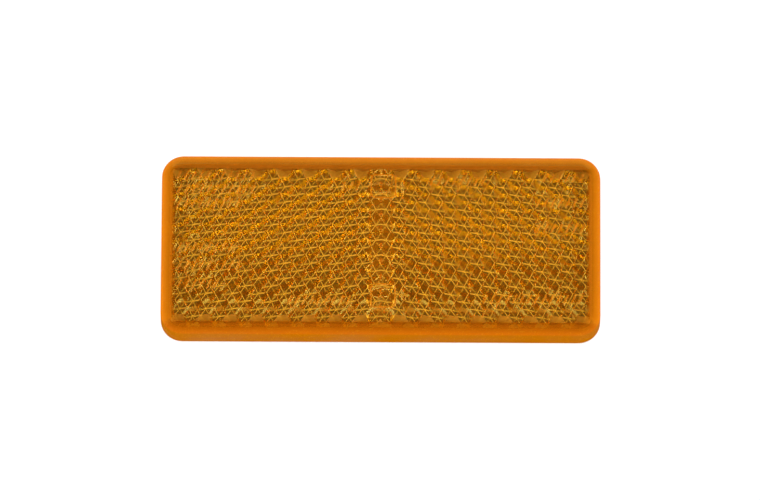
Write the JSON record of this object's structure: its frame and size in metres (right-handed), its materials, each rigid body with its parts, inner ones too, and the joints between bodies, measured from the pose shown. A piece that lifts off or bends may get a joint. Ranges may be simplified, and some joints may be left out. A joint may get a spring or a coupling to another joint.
{
  "type": "prismatic marker reflector",
  "caption": "Flat rectangular amber prismatic reflector for marking roads and posts: welded back plate, foam tape and a release liner that pulls off before it is stuck down.",
  "frame": {"origin": "centre of the underside, on the release liner, where the part lies before it is stuck down", "axes": "+Z out of the reflecting face, +X along the long side, +Y along the short side"},
  "size_m": [0.09, 0.0384, 0.0078],
  "materials": {
    "amber_acrylic": "clear amber, polished",
    "plate_abs": "fine moulded texture",
    "acrylic_glue": "tacky, slightly glossy",
    "white_foam": "closed-cell foam",
    "liner_paper": "siliconised paper"
  },
  "bodies": {
    "reflector": {"lens": "amber_acrylic", "back_plate": "plate_abs", "glue_front": "acrylic_glue", "foam_core": "white_foam", "glue_back": "acrylic_glue"},
    "liner": {"release_liner": "liner_paper"}
  },
  "joints": [
    {"name": "liner_pull", "type": "slide", "parent": "reflector", "child": "liner", "axis": [1, 0, 0], "range_m": [0, 0.095]}
  ]
}
